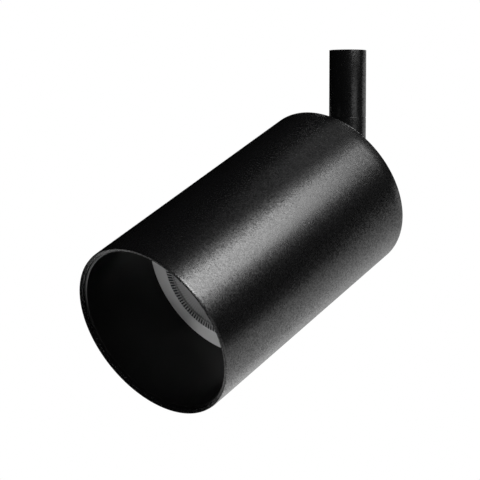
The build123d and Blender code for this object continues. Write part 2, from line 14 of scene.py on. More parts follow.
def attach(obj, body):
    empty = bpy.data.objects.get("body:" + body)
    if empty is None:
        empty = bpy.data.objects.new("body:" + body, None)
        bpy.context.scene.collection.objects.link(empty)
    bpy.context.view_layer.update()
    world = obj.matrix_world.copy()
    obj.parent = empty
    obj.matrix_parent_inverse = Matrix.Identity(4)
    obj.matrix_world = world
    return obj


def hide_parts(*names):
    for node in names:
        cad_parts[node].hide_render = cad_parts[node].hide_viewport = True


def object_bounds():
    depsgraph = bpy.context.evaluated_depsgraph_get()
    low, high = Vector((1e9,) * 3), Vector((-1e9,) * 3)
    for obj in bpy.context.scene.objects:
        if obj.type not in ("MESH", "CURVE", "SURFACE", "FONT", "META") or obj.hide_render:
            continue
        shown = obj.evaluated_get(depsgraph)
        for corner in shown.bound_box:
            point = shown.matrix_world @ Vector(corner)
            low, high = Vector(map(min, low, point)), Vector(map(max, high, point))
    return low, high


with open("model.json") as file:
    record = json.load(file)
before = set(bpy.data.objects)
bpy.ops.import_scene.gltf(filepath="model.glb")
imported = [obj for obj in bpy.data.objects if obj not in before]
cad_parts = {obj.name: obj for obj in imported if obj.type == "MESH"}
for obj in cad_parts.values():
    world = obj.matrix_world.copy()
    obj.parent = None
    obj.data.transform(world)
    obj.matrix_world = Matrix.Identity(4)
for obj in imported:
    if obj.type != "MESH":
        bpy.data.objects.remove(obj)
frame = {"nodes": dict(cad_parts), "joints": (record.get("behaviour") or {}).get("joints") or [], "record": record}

CAD_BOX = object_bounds()
LOG = logging.getLogger("spotlight")
MM = 0.001
X, Y, Z = range(3)
QUARTER_TURN = math.radians(90)
FULL_CIRCLE = 360.0
HEX_SIDES = 6
PRISM_COUNT = 120
MEAN = 0.5  # of a pattern or a random draw that runs from 0 to 1

Point = tuple[float, float]
Colour = tuple[float, float, float]
Settings = Optional[dict[str, Any]]
Sockets = Optional[dict[Union[str, int], Any]]

WHITE: Colour = (1.0, 1.0, 1.0)
BLACK: Colour = (0.0, 0.0, 0.0)


# Shader maths


class Term:
    """A value in a node tree, which Python's operators turn into Math nodes."""

    def __init__(self, tree: "Tree", socket: bpy.types.NodeSocket) -> None:
        """Wrap one output socket of a tree."""
        self.tree = tree
        self.socket = socket

    def __add__(self, other: "Operand") -> "Term":
        """Sum."""
        return self.tree.math("ADD", self, other)

    def __sub__(self, other: "Operand") -> "Term":
        """Difference."""
        return self.tree.math("SUBTRACT", self, other)

    def __rsub__(self, other: "Operand") -> "Term":
        """Difference, with the number first."""
        return self.tree.math("SUBTRACT", other, self)

    def __mul__(self, other: "Operand") -> "Term":
        """Product."""
        return self.tree.math("MULTIPLY", self, other)

    def __or__(self, other: "Operand") -> "Term":
        """The larger of two masks."""
        return self.tree.math("MAXIMUM", self, other)

    __radd__ = __add__
    __rmul__ = __mul__

    def ramp(self, low: float, high: float) -> "Term":
        """Nothing below one value, all above another, and smooth between."""
        sockets = {"Value": self, "From Min": low, "From Max": high}
        return self.tree.term("ShaderNodeMapRange", {"interpolation_type": "SMOOTHSTEP"}, sockets)


Operand = Union[Term, float]
Paint = Union[Term, Colour]


class Tree:
    """The node tree of a material or of the world."""

    # A Mix node's sockets for colours, which share their names with those for numbers
    MIX_FIRST, MIX_SECOND, MIX_RESULT = 6, 7, 2

    def __init__(self, owner: Union[bpy.types.Material, bpy.types.World]) -> None:
        """Empty a node tree and take it over.

        Args:
            owner: what the tree belongs to.
        """
        owner.use_nodes = True
        self.tree = owner.node_tree
        self.tree.nodes.clear()

    def node(self, kind: str, settings: Settings = None, sockets: Sockets = None) -> bpy.types.Node:
        """Add one node.

        Args:
            kind: the node's type.
            settings: its properties, which are set first.
            sockets: a value or a link for each named or numbered input.

        Returns:
            The node.
        """
        made = self.tree.nodes.new(kind)
        for name, value in (settings or {}).items():
            setattr(made, name, value)
        for key, value in (sockets or {}).items():
            if isinstance(value, Term):
                self.tree.links.new(value.socket, made.inputs[key])
            else:
                made.inputs[key].default_value = value
        return made

    def term(
        self, kind: str, settings: Settings = None, sockets: Sockets = None, output: Union[str, int] = 0
    ) -> Term:
        """One output of a new node."""
        return Term(self, self.node(kind, settings, sockets).outputs[output])

    def math(self, operation: str, first: Operand, second: Operand = 0.0) -> Term:
        """The result of a new Math node."""
        return self.term("ShaderNodeMath", {"operation": operation}, {0: first, 1: second})

    def vector(self, operation: str, first: Term, second: Any = (0.0, 0.0, 0.0)) -> Term:
        """The result of a new Vector Math node."""
        return self.term("ShaderNodeVectorMath", {"operation": operation}, {0: first, 1: second})

    def split(self, vector: Term) -> list[Term]:
        """A vector's three numbers."""
        parts = self.node("ShaderNodeSeparateXYZ", None, {0: vector})
        return [Term(self, output) for output in parts.outputs]

    def place(self) -> Term:
        """The object's own coordinates."""
        return self.term("ShaderNodeTexCoord", None, None, "Object")

    def along(self, place: Term, axis: "Bearing") -> Term:
        """Coordinates in a line's own axes, with Z along the line."""
        sockets = {"Vector": place, "Location": axis.origin, "Rotation": axis.matrix().to_euler()}
        return self.term("ShaderNodeMapping", {"vector_type": "TEXTURE"}, sockets)

    def radius(self, place: Term) -> Term:
        """How far a place lies from the Z axis."""
        flat = self.vector("MULTIPLY", place, (1.0, 1.0, 0.0))
        return self.term("ShaderNodeVectorMath", {"operation": "LENGTH"}, {0: flat}, "Value")

    def noise(self, place: Term, size: float, detail: float = 2.0) -> Term:
        """Soft random pattern from 0 to 1, with blotches of a size in metres."""
        sockets = {"Vector": place, "Scale": 1.0 / size, "Detail": detail}
        return self.term("ShaderNodeTexNoise", None, sockets)

    def cells(self, place: Term, size: float) -> Term:
        """A random colour for each small cell of a size in metres."""
        return self.term("ShaderNodeTexVoronoi", None, {"Vector": place, "Scale": 1.0 / size}, "Color")

    def bump(self, height: Term, depth: float) -> Term:
        """Surface normal of a relief from 0 to 1, whose depth is in metres."""
        return self.term("ShaderNodeBump", None, {"Strength": 1.0, "Distance": depth, "Height": height})

    def blend(self, share: Term, first: Paint, second: Paint) -> Term:
        """Colour between two colours.

        Args:
            share: 0 for the first colour, 1 for the second.
            first: the first colour.
            second: the second colour.

        Returns:
            The mixed colour.
        """
        sockets = {0: share}
        for key, colour in ((self.MIX_FIRST, first), (self.MIX_SECOND, second)):
            sockets[key] = colour if isinstance(colour, Term) else (*colour, 1.0)
        return self.term("ShaderNodeMix", {"data_type": "RGBA"}, sockets, self.MIX_RESULT)

    def mix(self, share: Term, first: Term, second: Term) -> Term:
        """The first shader where a share is 0, the second where it is 1."""
        return self.term("ShaderNodeMixShader", None, {0: share, 1: first, 2: second})

    def show(self, shader: Term, output: str = "ShaderNodeOutputMaterial") -> None:
        """Show a shader on the owner's surface."""
        self.node(output, None, {"Surface": shader})


# Finishes


@dataclass(frozen=True)
class Finish:
    """A finish whose tone drifts over soft blotches, and whose gloss drifts with a fine relief."""

    slot: str
    dark: Colour
    pale: Colour
    roughness: float
    roughness_swing: float = 0.06
    blotch: float = 6.0 * MM
    grain: float = 0.5 * MM
    relief: float = 0.004 * MM
    metallic: float = 0.0
    coat: float = 0.0
    specular: float = 0.5

    def material(self) -> bpy.types.Material:
        """Look the finish's material up, or make it on its first use.

        Returns:
            The material.
        """
        name = "finish_" + self.slot
        made = bpy.data.materials.get(name)
        if made is None:
            made = bpy.data.materials.new(name)
            self.paint(Tree(made))
        return made

    def height(self, tree: Tree, place: Term) -> Term:
        """The fine relief, from 0 to 1."""
        return tree.noise(place, self.grain)

    def tone(self, tree: Tree, place: Term) -> Term:
        """The base colour, drifting over soft blotches."""
        return tree.blend(tree.noise(place, self.blotch), self.dark, self.pale)

    def dullness(self, tree: Tree, place: Term, relief: Term) -> Term:
        """The roughness, which follows the fine relief."""
        return self.roughness + self.roughness_swing * (relief - MEAN)

    def lacquer(self, tree: Tree, place: Term) -> Operand:
        """The share of clear top coat, the same all over."""
        return self.coat

    def facing(self, tree: Tree, place: Term, relief: Term) -> Term:
        """The surface normal, turned by the fine relief."""
        return tree.bump(relief, self.relief)

    def paint(self, tree: Tree) -> None:
        """Fill the material's node tree.

        Args:
            tree: the empty tree.
        """
        place = tree.place()
        relief = self.height(tree, place)
        sockets = {
            "Base Color": self.tone(tree, place),
            "Roughness": self.dullness(tree, place, relief),
            "Metallic": self.metallic,
            "Coat Weight": self.lacquer(tree, place),
            "Coat Roughness": self.roughness,
            "Specular IOR Level": self.specular,
            "Normal": self.facing(tree, place, relief),
        }
        tree.show(tree.term("ShaderNodeBsdfPrincipled", None, sockets))


@dataclass(frozen=True)
class SandCoat(Finish):
    """Sandy powder coat: grains that each face their own way and shine more or less than the next."""

    facet: float = 0.37 * MM
    tilt: float = 0.05
    gloss_swing: float = 0.9

    def dullness(self, tree: Tree, place: Term, relief: Term) -> Term:
        """Roughness that differs from grain to grain."""
        _, _, draw = tree.split(tree.cells(place, self.facet))
        return self.roughness + self.roughness_swing * (draw - MEAN)

    def lacquer(self, tree: Tree, place: Term) -> Operand:
        """Top coat that differs from grain to grain."""
        _, draw, _ = tree.split(tree.cells(place, self.facet))
        return self.coat + self.gloss_swing * (draw - MEAN)

    def facing(self, tree: Tree, place: Term, relief: Term) -> Term:
        """Tilt the grains at random about the softly rippled surface.

        Args:
            tree: the material's tree.
            place: the object's coordinates.
            relief: the soft ripple.

        Returns:
            The grains' normals.
        """
        spread = tree.vector("SUBTRACT", tree.cells(place, self.facet), (MEAN,) * 3)
        leaning = tree.vector("MULTIPLY", spread, (2 * self.tilt,) * 3)
        return tree.vector("NORMALIZE", tree.vector("ADD", tree.bump(relief, self.relief), leaning))


@dataclass(frozen=True)
class TurnedFinish(Finish):
    """Finish with fine lathe lines round an axis of the object, lacquered on its front lip alone."""

    axis: Optional["Bearing"] = None
    line: float = 0.25 * MM
    line_detail: float = 1.0
    stretch: float = 0.02
    lip: float = 0.0
    lip_blur: float = 0.2 * MM

    def height(self, tree: Tree, place: Term) -> Term:
        """Lines that change along the axis and hardly at all round it."""
        drawn = tree.vector("MULTIPLY", tree.along(place, self.axis), (self.stretch, self.stretch, 1.0))
        return tree.noise(drawn, self.line, self.line_detail)

    def lacquer(self, tree: Tree, place: Term) -> Operand:
        """Clear top coat from the height where the lip starts."""
        _, _, height = tree.split(tree.along(place, self.axis))
        return self.coat * height.ramp(self.lip - self.lip_blur, self.lip)


@dataclass(frozen=True)
class PrismShadeFinish(Finish):
    """Frosted lens with painted shade: the dark look of clear prisms over a dark well is painted into its colour,
    between the ridges and in streaks towards them.
    """

    axis: Optional["Bearing"] = None
    ring_inner: float = 17.75 * MM
    ring_outer: float = 19.9 * MM
    inner_blur: float = 0.4 * MM
    outer_blur: float = 0.2 * MM
    notch_start: float = -0.75
    notch_end: float = 0.55
    # Painted shade: the streaks and the dark colour below stand in for the dark look of clear prisms, painted into
    # the lens's colour.
    streak_inner: float = 12.0 * MM
    streak: float = 0.3
    painted_prism_shade: Colour = (0.006, 0.006, 0.0062)

    def tone(self, tree: Tree, place: Term) -> Term:
        """Paint dark streaks into the frosted grey towards the ring, and paint shade into the ring's notches.

        Args:
            tree: the material's tree.
            place: the object's coordinates.

        Returns:
            The base colour, with the painted shade in it.
        """
        turned = tree.along(place, self.axis)
        across, up, _ = tree.split(turned)
        radius = tree.radius(turned)
        wave = tree.math("COSINE", tree.math("ARCTAN2", up, across) * PRISM_COUNT)
        start = radius.ramp(self.ring_inner - self.inner_blur, self.ring_inner + self.inner_blur)
        end = radius.ramp(self.ring_outer - self.outer_blur, self.ring_outer)
        # Painted shade: the colour is darkened in the notches and in streaks on the dome, where clear prisms would
        # look dark.
        notches = wave.ramp(self.notch_start, self.notch_end) * start * (1.0 - end)
        painted_streaks = self.streak * wave.ramp(-1.0, 1.0) * radius.ramp(self.streak_inner, self.ring_inner)
        return tree.blend(notches | painted_streaks, super().tone(tree, place), self.painted_prism_shade)


# Places on the object


@dataclass(frozen=True)
class Span:
    """Where a round piece lies: its heights along an axis and its radii about it."""

    low: float
    high: float
    inner: float
    outer: float

    def middle(self) -> float:
        """The height halfway up."""
        return (self.low + self.high) / 2


@dataclass(frozen=True)
class Bearing:
    """A line of the object that round pieces are turned about, always square to X."""

    origin: Vector
    along: Vector

    def matrix(self) -> Matrix:
        """Work out how a piece that stands on Z is turned and moved onto this line.

        Returns:
            The move.
        """
        across = Vector((1.0, 0.0, 0.0))
        turn = Matrix((across, self.along.cross(across), self.along)).transposed()
        return Matrix.Translation(self.origin) @ turn.to_4x4()

    def points(self, node: str) -> list[Vector]:
        """A node's corners in this line's own axes."""
        inverse = self.matrix().inverted()
        return [inverse @ vertex.co for vertex in frame["nodes"][node].data.vertices]

    def reach(self, node: str, way: int) -> Point:
        """A node's least and greatest place along one of this line's own axes."""
        places = [corner[way] for corner in self.points(node)]
        return min(places), max(places)

    def span(self, node: str) -> Span:
        """A node's heights along this line and its radii about it."""
        radii = [corner.xy.length for corner in self.points(node)]
        return Span(*self.reach(node, Z), min(radii), max(radii))


def tilt_joint() -> dict[str, Any]:
    """The tilt hinge, as the frame gives it."""
    return next(joint for joint in frame["joints"] if joint["name"] == "tilt")


def stem_line() -> Bearing:
    """The upright line of the stem, from the tilt pivot."""
    return Bearing(Vector(tilt_joint()["pos_m"]), Vector((0.0, 0.0, 1.0)))


def head_line() -> Bearing:
    """Find the line that the light shines along, from the tilt pivot.

    The tilt's lower limit brings the head level, so that limit says how far down it aims at rest.

    Returns:
        The line.
    """
    tilt = tilt_joint()
    down = math.radians(-tilt["range_deg"][0])
    return Bearing(Vector(tilt["pos_m"]), Vector((0.0, -math.cos(down), -math.sin(down))))


# Modelling bench


def deselect_all() -> None:
    """Leave edit mode, with nothing selected."""
    active = bpy.context.view_layer.objects.active
    if active is not None and active.mode != "OBJECT":
        bpy.ops.object.mode_set(mode="OBJECT")
    bpy.ops.object.select_all(action="DESELECT")


class Blank:
    """A mesh on the bench, which operators shape until it is a finished piece."""

    TOUCHING = 0.002 * MM
    BREAK_STEPS = 2
    SHARP = math.radians(40)

    def __init__(self, name: str) -> None:
        """Take over the primitive that was just added.

        Args:
            name: the piece's name.
        """
        self.piece = bpy.context.view_layer.objects.active
        self.piece.name = name
        self.piece.data.name = name
        self.settle()

    @classmethod
    def turned(cls, name: str, outline: Sequence[Point], sides: int, capped: bool = False) -> "Blank":
        """Turn a round piece about Z: a bare ring, drawn out along an outline.

        Args:
            name: the piece's name.
            outline: the radius and height of each ring, ending where it starts unless the piece is capped.
            sides: how many sides it has.
            capped: whether flat faces close the first and the last ring.

        Returns:
            The blank.
        """
        deselect_all()
        (radius, height), *others = outline
        bpy.ops.mesh.primitive_circle_add(
            vertices=sides, radius=radius, fill_type="NOTHING", location=(0.0, 0.0, height)
        )
        blank = cls(name)
        blank.edit()
        bpy.ops.mesh.select_all(action="SELECT")
        for next_radius, next_height in others:
            rise = (0.0, 0.0, next_height - height)
            bpy.ops.mesh.extrude_region_move(TRANSFORM_OT_translate={"value": rise})
            scale = next_radius / radius
            bpy.ops.transform.resize(value=(scale, scale, 1.0), center_override=(0.0, 0.0, 0.0))
            radius, height = next_radius, next_height
        blank.close()
        if capped:
            for end in (outline[0], outline[-1]):
                blank.edit()
                blank.pick_rings([end])
                bpy.ops.mesh.edge_face_add()
            blank.close()
        return blank

    @classmethod
    def bar(cls, name: str, radius: float, low: float, high: float, sides: int) -> "Blank":
        """Start from a closed bar about Z.

        Args:
            name: the piece's name.
            radius: the bar's radius, to its corners.
            low: its foot.
            high: its top.
            sides: how many sides it has.

        Returns:
            The blank.
        """
        deselect_all()
        bpy.ops.mesh.primitive_cylinder_add(
            vertices=sides, radius=radius, depth=high - low, location=(0.0, 0.0, (low + high) / 2)
        )
        return cls(name)

    @classmethod
    def block(cls, name: str, low: Sequence[float], high: Sequence[float]) -> "Blank":
        """Start from a block between two corners.

        Args:
            name: the piece's name.
            low: its lowest corner.
            high: its highest corner.

        Returns:
            The blank.
        """
        deselect_all()
        corner, other = Vector(low), Vector(high)
        bpy.ops.mesh.primitive_cube_add(size=1.0, location=(corner + other) / 2, scale=other - corner)
        return cls(name)

    def only(self) -> None:
        """Make this the one piece that operators act on."""
        deselect_all()
        bpy.context.view_layer.objects.active = self.piece
        self.piece.select_set(True)

    def settle(self) -> None:
        """Take the object's place into its mesh."""
        bpy.ops.object.transform_apply(location=True, rotation=True, scale=True)

    def edit(self) -> None:
        """Go into edit mode on this blank alone, with nothing selected in it."""
        self.only()
        bpy.ops.object.mode_set(mode="EDIT")
        bpy.ops.mesh.select_mode(type="EDGE")
        bpy.ops.mesh.select_all(action="DESELECT")

    def pick_edges(self, wanted: Callable[[Vector, Vector], bool]) -> None:
        """Select edges, in edit mode.

        Args:
            wanted: says for an edge's two ends whether it is picked.
        """
        mesh = bmesh.from_edit_mesh(self.piece.data)
        for edge in mesh.edges:
            if wanted(edge.verts[0].co, edge.verts[1].co):
                edge.select_set(True)
        bmesh.update_edit_mesh(self.piece.data)

    def pick_rings(self, rings: Sequence[Point]) -> None:
        """Select rings, in edit mode.

        Args:
            rings: their radii and heights.
        """

        def lies_on(corner: Vector, ring: Point) -> bool:
            """Whether a corner lies on a ring."""
            radius, height = ring
            return abs(corner.xy.length - radius) < self.TOUCHING and abs(corner.z - height) < self.TOUCHING

        self.pick_edges(lambda *ends: any(all(lies_on(end, ring) for end in ends) for ring in rings))

    def close(self) -> None:
        """Join what meets and turn all faces outwards."""
        self.edit()
        bpy.ops.mesh.select_all(action="SELECT")
        bpy.ops.mesh.remove_doubles(threshold=self.TOUCHING)
        bpy.ops.mesh.normals_make_consistent(inside=False)
        deselect_all()

    def round_rings(self, rings: Sequence[Point], radius: float, segments: int = 3) -> None:
        """Round sharp rings.

        Args:
            rings: their radii and heights.
            radius: how far the rounding reaches.
            segments: how many steps it has.
        """
        self.edit()
        self.pick_rings(rings)
        bpy.ops.mesh.bevel(offset_type="OFFSET", offset=radius, segments=segments, affect="EDGES")
        deselect_all()

    def modify(self, kind: str, **settings: Any) -> None:
        """Apply a modifier.

        Args:
            kind: the modifier's type.
            settings: its properties.
        """
        self.only()
        modifier = self.piece.modifiers.new(kind, kind)
        for name, value in settings.items():
            setattr(modifier, name, value)
        bpy.ops.object.modifier_apply(modifier=modifier.name)

    def cut(self, tool: "Blank") -> "Blank":
        """Take a tool's shape away, and use the tool up.

        Args:
            tool: another blank.

        Returns:
            The blank.
        """
        self.modify("BOOLEAN", operation="DIFFERENCE", solver="EXACT", object=tool.piece)
        bpy.data.objects.remove(tool.piece)
        return self

    def soften(self, width: float) -> None:
        """Break every sharp edge to a width."""
        limit = {"limit_method": "ANGLE", "angle_limit": self.SHARP}
        self.modify("BEVEL", width=width, segments=self.BREAK_STEPS, **limit)

    def move(self, place: Matrix) -> "Blank":
        """Put the blank somewhere else.

        Args:
            place: the move, which is kept in the mesh.

        Returns:
            The blank.
        """
        self.only()
        self.piece.matrix_world = place
        self.settle()
        return self

    def copy(self, place: Matrix) -> "Blank":
        """Copy the blank and its mesh.

        Args:
            place: where the copy is moved.

        Returns:
            The copy.
        """
        self.only()
        bpy.ops.object.duplicate(linked=False)
        return Blank(self.piece.name + "_copy").move(place)

    def join(self, others: Iterable["Blank"]) -> None:
        """Take other blanks into this one's mesh.

        Args:
            others: the blanks, which are used up.
        """
        self.only()
        for other in others:
            other.piece.select_set(True)
        bpy.ops.object.join()

    def finish(
        self, place: Matrix, body: str, nodes: Sequence[str], finish: Finish, angle: float = 32.0
    ) -> None:
        """Move the piece to its place, shade it, dress it and set it in the frame.

        Args:
            place: the move from the bench.
            body: the body that it rides on.
            nodes: the nodes that it stands for.
            finish: what it is dressed in.
            angle: the least angle between two faces that stays sharp, in degrees.
        """
        self.move(place)
        bpy.ops.object.shade_smooth_by_angle(angle=math.radians(angle))
        self.piece.data.materials.clear()
        self.piece.data.materials.append(finish.material())
        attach(self.piece, body)
        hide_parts(*nodes)
        LOG.info("%s: %d faces, for %s", self.piece.name, len(self.piece.data.polygons), ", ".join(nodes))


def hex_key(across: float, low: float, high: float) -> Blank:
    """A hexagon key of a width across its flats, between two heights."""
    return Blank.bar("key", across / 2 / math.cos(math.pi / HEX_SIDES), low, high, HEX_SIDES)


def lay_across() -> Matrix:
    """Lays a piece that stands on Z along X."""
    return Matrix.Rotation(QUARTER_TURN, 4, "Y")


def point_under(height: float) -> Matrix:
    """Turns a piece that stands on Z to point out under the head, at a height along it."""
    return Matrix.Translation((0.0, 0.0, height)) @ Matrix.Rotation(QUARTER_TURN, 4, "X")


def bow(share: float, rise: float) -> float:
    """Parabola that is 0 at both ends of 0 to 1 and reaches its rise in the middle."""
    return 4 * rise * share * (1 - share)


def arc(radius: float, foot: float, rise: float, steps: int) -> list[Point]:
    """Points of a ball's cap, from near its top on the axis down to its foot.

    Args:
        radius: the cap's radius at its foot.
        foot: the height of its foot.
        rise: how far its top stands above the foot.
        steps: how many points there are.

    Returns:
        The radius and height of each point.
    """
    ball = (radius**2 + rise**2) / (2 * rise)
    full = math.asin(radius / ball)
    angles = [full * (step + 1) / steps for step in range(steps)]
    return [(ball * math.sin(angle), foot + rise - ball * (1 - math.cos(angle))) for angle in angles]


# Sub-assemblies


@dataclass
class Housing:
    """Plain tube with a shallow taper and a dished face at its mouth, drilled for its set screw."""

    axis: Bearing
    coat: Finish
    sides: int = 192
    rear_round: float = 0.3 * MM
    rim_taper: float = 0.75 * MM
    rim_depth: float = 0.16 * MM
    rim_break: float = 0.1 * MM
    rim_round: float = 0.17 * MM
    rim_dish: float = 0.36 * MM
    mouth_round: float = 0.05 * MM
    break_steps: int = 2
    rim_steps: int = 6
    hole_clearance: float = 0.1 * MM
    hole_margin: float = 4.0 * MM
    hole_sides: int = 32

    def build(self) -> None:
        """Turn the tube, round its edges and drill it."""
        size = self.axis.span("housing_tube")
        screw = self.axis.span("housing_set_screw").middle()
        start = (size.inner, size.low)
        rear = (size.outer, size.low)
        near = (size.outer, screw - self.hole_margin)
        far = (size.outer, screw + self.hole_margin)
        taper = (size.outer, size.high - self.rim_taper)
        rim = (size.outer - self.rim_depth, size.high)
        mouth = (size.inner, size.high - self.rim_dish)
        outline = [start, rear, near, far, taper, rim, mouth, start]
        tube = Blank.turned("coated_housing", outline, self.sides)
        tube.round_rings([rear], self.rear_round)
        tube.round_rings([taper], self.rim_break, self.break_steps)
        tube.round_rings([rim], self.rim_round, self.rim_steps)
        tube.round_rings([mouth], self.mouth_round, self.rim_steps)
        hole = self.axis.reach("housing_set_screw", X)[1] + self.hole_clearance
        low, high = size.inner - self.hole_margin, size.outer + self.hole_margin
        drill = Blank.bar("drill", hole, low, high, self.hole_sides)
        tube.cut(drill.move(point_under(screw)))
        tube.finish(self.axis.matrix(), "head", ["housing_tube"], self.coat)


@dataclass
class Baffle:
    """Anti-glare sleeve, a satin tube with a dished front edge."""

    axis: Bearing
    satin: Finish
    sides: int = 192
    edge_round: float = 0.1 * MM
    edge_dish: float = 0.35 * MM

    def build(self) -> None:
        """Turn the sleeve and round its front edges."""
        size = self.axis.span("baffle_sleeve")
        start = (size.inner, size.low)
        front = (size.outer, size.high)
        mouth = (size.inner, size.high - self.edge_dish)
        outline = [start, (size.outer, size.low), front, mouth, start]
        sleeve = Blank.turned("satin_baffle", outline, self.sides)
        sleeve.round_rings([front, mouth], self.edge_round)
        sleeve.finish(self.axis.matrix(), "head", ["baffle_sleeve"], self.satin)


@dataclass
class Optics:
    """Crowned bezel and the lens behind it, with a ring of radial prisms round its domed face."""

    axis: Bearing
    grey: Finish
    frosted: Finish
    sides: int = 240
    bezel_wall: float = 1.2 * MM
    bezel_edge: float = 0.2 * MM
    ring_sink: float = 0.05 * MM
    ring_clearance: float = 0.1 * MM
    ring_step: float = 0.8 * MM
    prism_length: float = 2.0 * MM
    prism_edge: float = 0.15 * MM
    prism_depth: float = 0.45 * MM
    notch_width: float = 0.7 * MM
    dome_steps: int = 10
    body_radius: float = 19.0 * MM
    foot_radius: float = 9.0 * MM
    foot_wall: float = 1.0 * MM
    flange: float = 1.5 * MM
    bulge: float = 1.6 * MM
    cavity_height: float = 6.0 * MM
    cavity_rise: float = 1.4 * MM

    def build(self) -> None:
        """Make the bezel and the lens."""
        self.build_bezel()
        self.build_lens()

    def build_bezel(self) -> None:
        """Turn the crowned ring."""
        size = self.axis.span("lens_bezel")
        sleeve = self.axis.span("baffle_sleeve")
        slope = (size.high - sleeve.low) / (sleeve.inner - size.inner)
        wall = size.inner + self.bezel_wall
        start = (size.outer, size.low)
        crown = (size.inner, size.high)
        outline = [
            start,
            (size.outer, sleeve.low),
            (sleeve.inner, sleeve.low),
            crown,
            (size.inner, size.low),
            (wall, size.low),
            (wall, size.high - self.bezel_wall * (1 + slope)),
            (sleeve.inner, sleeve.low - self.bezel_wall),
            (sleeve.inner, size.low),
            start,
        ]
        ring = Blank.turned("crowned_bezel", outline, self.sides)
        ring.round_rings([crown], self.bezel_edge)
        ring.finish(self.axis.matrix(), "head", ["lens_bezel"], self.grey)

    def build_lens(self) -> None:
        """Turn the lens and cut the prisms into its ring."""
        size = self.axis.span("lens")
        bezel = self.axis.span("lens_bezel")
        rim = bezel.inner - self.ring_clearance
        ring_top = bezel.high - self.ring_sink
        ring_inner = rim - self.prism_length - 2 * self.prism_edge
        dome_foot = ring_top - self.ring_step
        seat = bezel.low - self.flange
        cavity = self.foot_radius - self.foot_wall
        outline = arc(ring_inner, dome_foot, size.high - dome_foot, self.dome_steps)
        outline += [(ring_inner, ring_top), (rim, ring_top), (rim, bezel.low), (size.outer, bezel.low)]
        outline.append((size.outer, seat))
        for step in range(self.dome_steps + 1):
            share = step / self.dome_steps
            out = bow(share, self.bulge)
            radius = self.body_radius + (self.foot_radius - self.body_radius) * share + out
            outline.append((radius, seat + (size.low - seat) * share - out))
        outline.append((cavity, size.low))
        outline += arc(cavity, size.low + self.cavity_height, self.cavity_rise, self.dome_steps)[::-1]
        lens = Blank.turned("prism_lens", outline, self.sides, capped=True)
        lens.cut(self.notches(ring_inner + self.prism_edge, ring_top))
        lens.finish(self.axis.matrix(), "head", ["lens"], self.frosted)

    def notches(self, inner: float, top: float) -> Blank:
        """Make the cutters between the prisms: one wedge, copied round the ring.

        Args:
            inner: where the notches start.
            top: the height of the ring's face.

        Returns:
            All the wedges as one blank, as high above the face as they are deep.
        """
        low = (inner, -self.notch_width, top - self.prism_depth)
        high = (inner + self.prism_length, self.notch_width, top + self.prism_depth)
        wedge = Blank.block("notches", low, high)
        wedge.edit()
        wedge.pick_edges(lambda first, second: max(first.z, second.z) < top)
        bpy.ops.transform.resize(value=(1.0, 0.0, 1.0))
        bpy.ops.mesh.select_all(action="SELECT")
        bpy.ops.mesh.remove_doubles(threshold=Blank.TOUCHING)
        bpy.ops.mesh.select_all(action="SELECT")
        bpy.ops.mesh.spin(
            steps=PRISM_COUNT,
            dupli=True,
            angle=2 * math.pi,
            center=(0.0, 0.0, 0.0),
            axis=(0.0, 0.0, 1.0),
        )
        wedge.close()
        return wedge


@dataclass
class Stem:
    """Upper stem: threaded bore at the top, and the web that the knuckle turns in."""

    axis: Bearing
    coat: Finish
    sides: int = 128
    edge_round: float = 0.06 * MM
    smooth_angle: float = 25.0
    bore: float = 4.5 * MM
    thread_pitch: float = 1.0 * MM
    thread_depth: float = 0.45 * MM
    thread_turns: int = 12
    chamber: float = 4.8 * MM
    web: float = 4.0 * MM

    def build(self) -> None:
        """Turn the tube with its thread and round its edges."""
        size = self.axis.span("stem_tube")
        web_top = size.low + self.web
        bottom = size.high - self.thread_turns * self.thread_pitch
        start = (self.bore, size.high)
        edges = [(size.outer, size.high), (size.outer, size.low)]
        outline = [start, *edges, (size.inner, size.low), (size.inner, web_top)]
        outline += [(self.chamber, web_top), (self.chamber, bottom)]
        for turn in range(self.thread_turns):
            foot = bottom + turn * self.thread_pitch
            outline.append((self.bore, foot))
            outline.append((self.bore + self.thread_depth, foot + self.thread_pitch / 2))
        outline.append(start)
        tube = Blank.turned("coated_stem", outline, self.sides)
        tube.round_rings(edges, self.edge_round)
        tube.finish(self.axis.matrix(), "stem", ["stem_tube"], self.coat, self.smooth_angle)


class Side(Enum):
    """Which side of the half-lap a bar keeps, along X."""

    LEFT = -1
    RIGHT = 1


